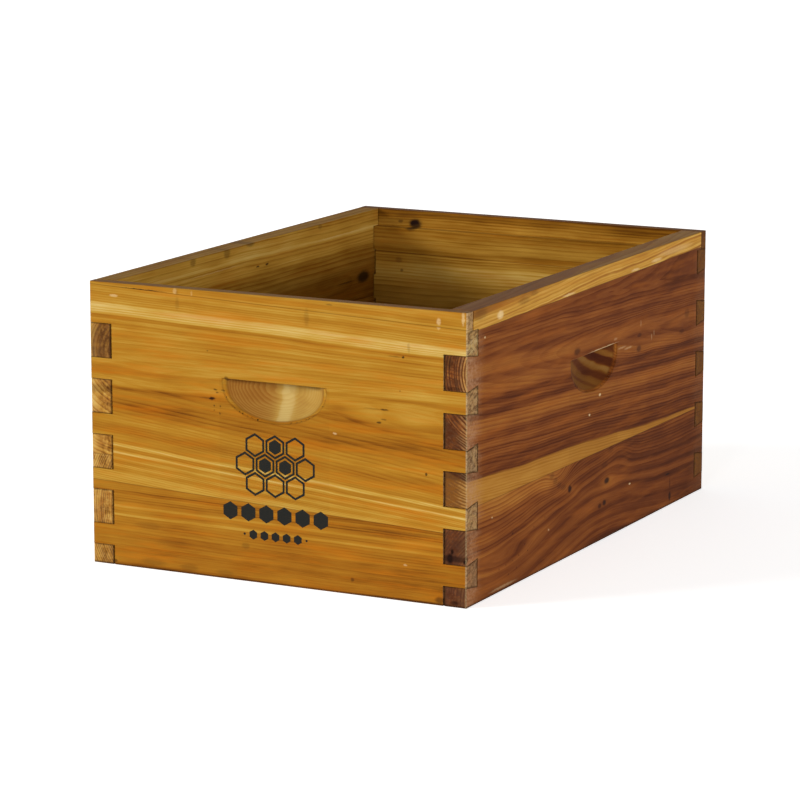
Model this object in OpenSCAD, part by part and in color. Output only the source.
// Deep hive box: four walls of edge-glued planks, dovetailed together at the corners.
// The origin is the middle of the open bottom, on the surface it stands on.
// The front wall is at -Y, the right wall at +X, and the open top is up.
// "Left" and "right" ends of a wall are as seen from outside the box.

/* [Box] */
// Outside width, along the front and back walls
box_width = 355.6; // [330:0.1:420]
// Outside length, along the side walls
box_length = 504.8; // [480:0.1:530]
// Outside height
box_height = 244.5; // [236:0.1:256]
// Thickness of all four walls
wall = 20; // [18:0.5:22]

/* [Corner dovetails] */
// Height of a side wall's tail where it shows on the front face
tail_height = 30; // [27:0.5:33]
// Distance from one tail to the next
tail_pitch = 48; // [46:0.5:50]
// Distance from the rim down to the first tail
first_tail = 35.5; // [34:0.5:38]
// How much each sloping side of a tail runs in over the wall's thickness
tail_flare = 2.75; // [1:0.25:3.5]
// Room left behind the end of each tail and pin
end_gap = 1.2; // [0.4:0.1:2]
// Glue room along each sloping side of a tail
side_gap = 0.1; // [0.05:0.05:0.3]

/* [Frame rests] */
// Width of the ledge that the lugs of the frames lie on
rest_width = 9.5; // [8:0.5:11]
// Depth of that ledge below the rim
rest_depth = 16; // [15.5:0.5:19]

/* [Hand holds] */
// Width of a hand hold along its flat top edge
hold_width = 99; // [80:1:110]
// Height of a hand hold
hold_height = 34.5; // [28:0.5:40]
// Distance from the rim down to the flat top edge
hold_drop = 73; // [60:1:90]
// Depth of a hand hold at its top edge
hold_depth = 12; // [8:0.5:14]
// Height of the full-depth part, above the rounded lower part
hold_straight = 5; // [2:0.5:10]

/* [Glue lines] */
// Front wall, rim to the upper glue line, at the left and right end
front_upper_line = [2.4, 14.4]; // [1:0.1:15]
// Front wall, rim to the lower glue line, at the left and right end
front_lower_line = [171, 184]; // [160:0.5:190]
// Right wall, rim to the upper glue line, at the left and right end
right_upper_line = [17.3, 14]; // [5:0.1:30]
// Right wall, rim to the lower glue line, at the left and right end
right_lower_line = [162.5, 164.5]; // [115:0.5:200]
// Back wall, rim to the upper glue line, at the left and right end
back_upper_line = [43, 39]; // [39:0.5:60]
// Back wall, rim to the lower glue line, at the left and right end
back_lower_line = [169, 173]; // [115:0.5:200]
// Left wall, rim to the glue line, at the left and right end
left_line = [152, 149]; // [115:0.5:200]

/* [Hidden] */
$fn = 96;

// How far cutting shapes reach past the faces they cut
past = 1;
socket_depth = wall + end_gap;
lip = wall - rest_width;
tail_count = ceil((box_height - first_tail) / tail_pitch);
rim = [-past, -past];
foot = [box_height + past, box_height + past];

// A hand hold is swept by a round cutter that turns about an upright axis
cutter_radius = (pow(hold_width / 2, 2) + pow(hold_depth, 2)) / (2 * hold_depth);
hold_bow_height = hold_height - hold_straight;
hold_bow = (pow(hold_bow_height, 2) + pow(hold_depth, 2)) / (2 * hold_depth);

// Walls are built as the front wall lies, and then turned about the upright axis
front_turn = 0;
right_turn = 90;
back_turn = 180;
left_turn = 270;

golden = [0.75, 0.52, 0.20];
golden_pale = [0.80, 0.60, 0.27];
golden_deep = [0.70, 0.46, 0.17];
red_brown = [0.45, 0.25, 0.13];
red_brown_light = [0.50, 0.28, 0.14];
sapwood = [0.76, 0.60, 0.30];
olive = [0.60, 0.47, 0.20];
olive_deep = [0.52, 0.39, 0.17];
ledge_brown = [0.50, 0.33, 0.14];

// Half the height of a tail, a given distance in from its end
function tail_half(inward) = tail_height / 2 - tail_flare * inward / wall;

// Height of the middle of a tail above the bottom of the box
function tail_middle(i) = box_height - first_tail - tail_height / 2 - i * tail_pitch;

// Cross-section of the socket for one tail, from the outer face at x = 0 through the wall
module socket_outline() {
    deep = wall + past;
    polygon([
        [-past, tail_half(-past)],
        [deep, tail_half(deep)],
        [deep, -tail_half(deep)],
        [-past, -tail_half(-past)]
    ]);
}

// The stretch of a wall between two glue lines, in the plane of the wall's face
module band_outline(length, upper, lower) {
    half = length / 2 + past;
    polygon([
        [-half, box_height - upper[0]],
        [half, box_height - upper[1]],
        [half, box_height - lower[1]],
        [-half, box_height - lower[0]]
    ]);
}

// Space that a hand takes in a wall whose outer face is at y = -distance
module hand_hold(distance) {
    translate([0, hold_depth - cutter_radius - distance, box_height - hold_drop])
        rotate_extrude() intersection() {
            translate([0, -hold_height]) square([cutter_radius, hold_height]);
            union() {
                translate([0, -hold_height]) square([cutter_radius - hold_bow, hold_height]);
                translate([0, -hold_straight]) square([cutter_radius, hold_straight]);
                translate([cutter_radius - hold_bow, -hold_straight]) circle(hold_bow);
            }
        }
}

// Left edge of a side wall from the rim down: the tongue for the frame rest, then the tails
function comb_edge() =
    let (
        outer = -box_length / 2,
        inner = outer + socket_depth,
        tongue_end = outer + lip + end_gap,
        tongue_under = box_height - rest_depth,
        half_out = tail_half(0) - side_gap,
        half_in = tail_half(socket_depth) - side_gap
    )
    concat(
        [[tongue_end, box_height], [tongue_end, tongue_under], [inner, tongue_under]],
        [
            for (i = [0 : tail_count - 1]) each [
                [inner, tail_middle(i) + half_in],
                [outer, tail_middle(i) + half_out],
                [outer, tail_middle(i) - half_out],
                [inner, tail_middle(i) - half_in]
            ]
        ]
    );

// The same points mirrored left to right, in the opposite order
function mirrored(points) =
    [for (i = [len(points) - 1 : -1 : 0]) [-points[i][0], points[i][1]]];

// Outline of a side wall, with the lowest tails cut off at the bottom of the box
module side_outline() {
    intersection() {
        translate([-box_length / 2, 0]) square([box_length, box_height]);
        polygon(concat(comb_edge(), mirrored(comb_edge())));
    }
}

// Blank of an end wall: one board with a frame rest, and at both ends a row of sockets for
// the tails and a seat, a little lower than the frame rest, for the tongue
module end_blank() {
    outer = -box_length / 2;
    difference() {
        translate([-box_width / 2, 0, 0]) rotate([90, 0, 90]) linear_extrude(box_width)
            polygon([
                [outer, 0],
                [outer + wall, 0],
                [outer + wall, box_height - rest_depth],
                [outer + lip, box_height - rest_depth],
                [outer + lip, box_height],
                [outer, box_height]
            ]);
        for (end = [0, 1], i = [0 : tail_count - 1])
            mirror([end, 0, 0])
                translate([-box_width / 2 - past, outer, tail_middle(i)])
                    rotate([90, 0, 90]) linear_extrude(socket_depth + past) socket_outline();
        for (end = [0, 1])
            mirror([end, 0, 0])
                translate([-box_width / 2 - past, outer + lip, box_height - rest_depth - side_gap])
                    cube([past + wall + side_gap, rest_width + past, rest_depth]);
    }
}

// One plank of a side wall
module side_plank(turn, upper, lower) {
    rotate([0, 0, turn]) difference() {
        translate([0, wall - box_width / 2, 0]) rotate([90, 0, 0]) linear_extrude(wall)
            intersection() {
                side_outline();
                band_outline(box_length, upper, lower);
            }
        hand_hold(box_width / 2);
    }
}

// One plank of the front or back wall
module end_plank(turn, upper, lower) {
    rotate([0, 0, turn]) difference() {
        intersection() {
            end_blank();
            translate([0, wall + past - box_length / 2, 0]) rotate([90, 0, 0])
                linear_extrude(wall + 2 * past) band_outline(box_width, upper, lower);
        }
        hand_hold(box_length / 2);
    }
}

module front_top_strip() {
    color(golden_pale) end_plank(front_turn, rim, front_upper_line);
}

module front_upper_plank() {
    color(golden) end_plank(front_turn, front_upper_line, front_lower_line);
}

module front_lower_plank() {
    color(golden_deep) end_plank(front_turn, front_lower_line, foot);
}

module back_top_plank() {
    color(ledge_brown) end_plank(back_turn, rim, back_upper_line);
}

module back_middle_plank() {
    color(olive) end_plank(back_turn, back_upper_line, back_lower_line);
}

module back_lower_plank() {
    color(olive_deep) end_plank(back_turn, back_lower_line, foot);
}

module left_upper_plank() {
    color(olive) side_plank(left_turn, rim, left_line);
}

module left_lower_plank() {
    color(olive_deep) side_plank(left_turn, left_line, foot);
}

module right_top_strip() {
    color(sapwood) side_plank(right_turn, rim, right_upper_line);
}

module right_upper_plank() {
    color(red_brown) side_plank(right_turn, right_upper_line, right_lower_line);
}

module right_lower_plank() {
    color(red_brown_light) side_plank(right_turn, right_lower_line, foot);
}

front_top_strip();
front_upper_plank();
front_lower_plank();
back_top_plank();
back_middle_plank();
back_lower_plank();
left_upper_plank();
left_lower_plank();
right_top_strip();
right_upper_plank();
right_lower_plank();
